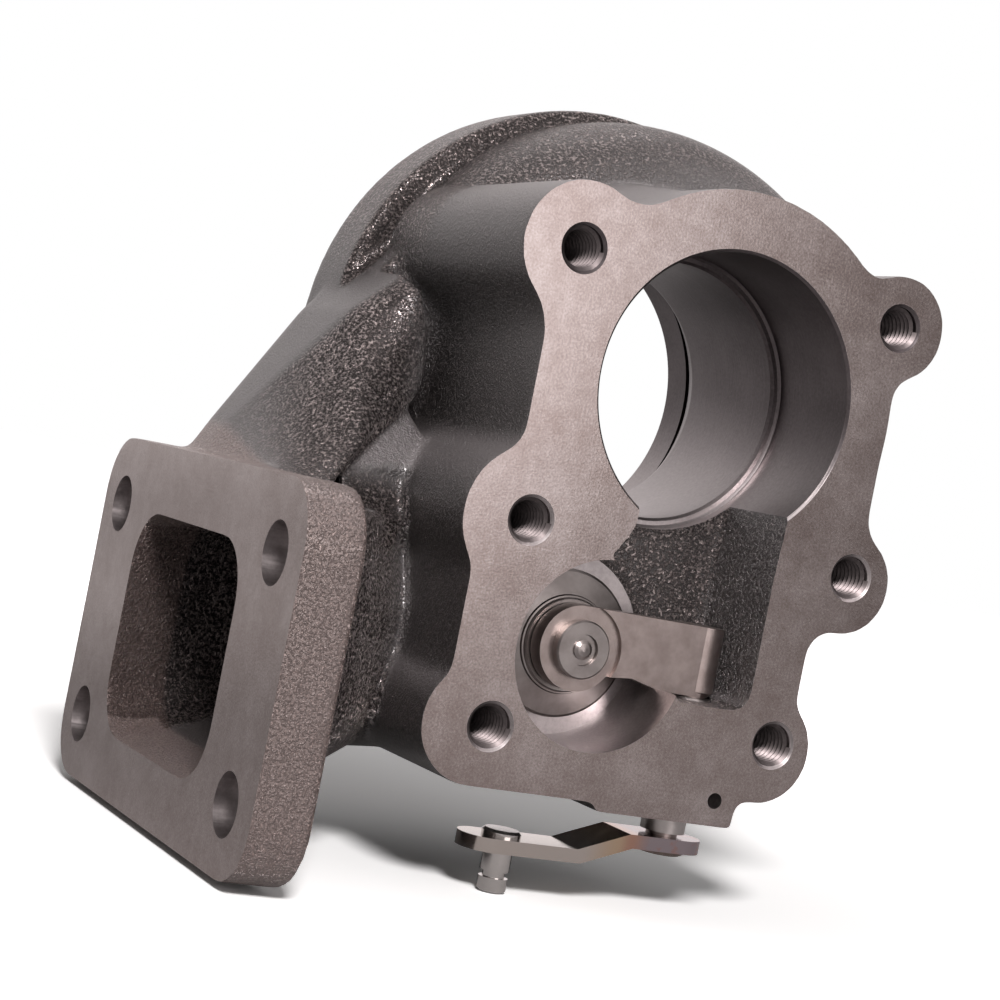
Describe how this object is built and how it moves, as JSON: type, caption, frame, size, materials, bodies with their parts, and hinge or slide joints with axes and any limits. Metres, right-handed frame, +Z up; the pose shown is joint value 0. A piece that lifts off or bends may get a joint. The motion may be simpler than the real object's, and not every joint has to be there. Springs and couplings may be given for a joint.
{
  "type": "turbocharger turbine housing",
  "caption": "Turbocharger turbine housing: cast scroll with a rectangular inlet flange, a lobed outlet flange and a built-in wastegate flap worked by a crank lever.",
  "frame": {"origin": "centre of the outlet bore on the machined outlet face", "axes": "+Y along the bore from the outlet face to the bearing housing side, +Z up, +X away from the inlet flange"},
  "size_m": [0.147, 0.1084, 0.151],
  "materials": {
    "cast_iron": "rough",
    "bush_steel": "satin",
    "arm_steel": "satin",
    "valve_steel": "satin",
    "washer_steel": "satin",
    "lever_steel": "satin",
    "pin_steel": "satin",
    "weld_steel": "satin"
  },
  "bodies": {
    "housing": {"housing": "cast_iron", "shaft_bushing": "bush_steel"},
    "wastegate": {"wastegate_arm": "arm_steel", "flap_valve": "valve_steel", "valve_washer": "washer_steel", "crank_lever": "lever_steel", "lever_pin": "pin_steel", "lever_weld": "weld_steel"}
  },
  "joints": [
    {"name": "wastegate_shaft", "type": "hinge", "parent": "housing", "child": "wastegate", "pos_m": [0.0118, 0.0123, -0.07], "axis": [0, 0, 1], "range_deg": [0, 50]}
  ]
}
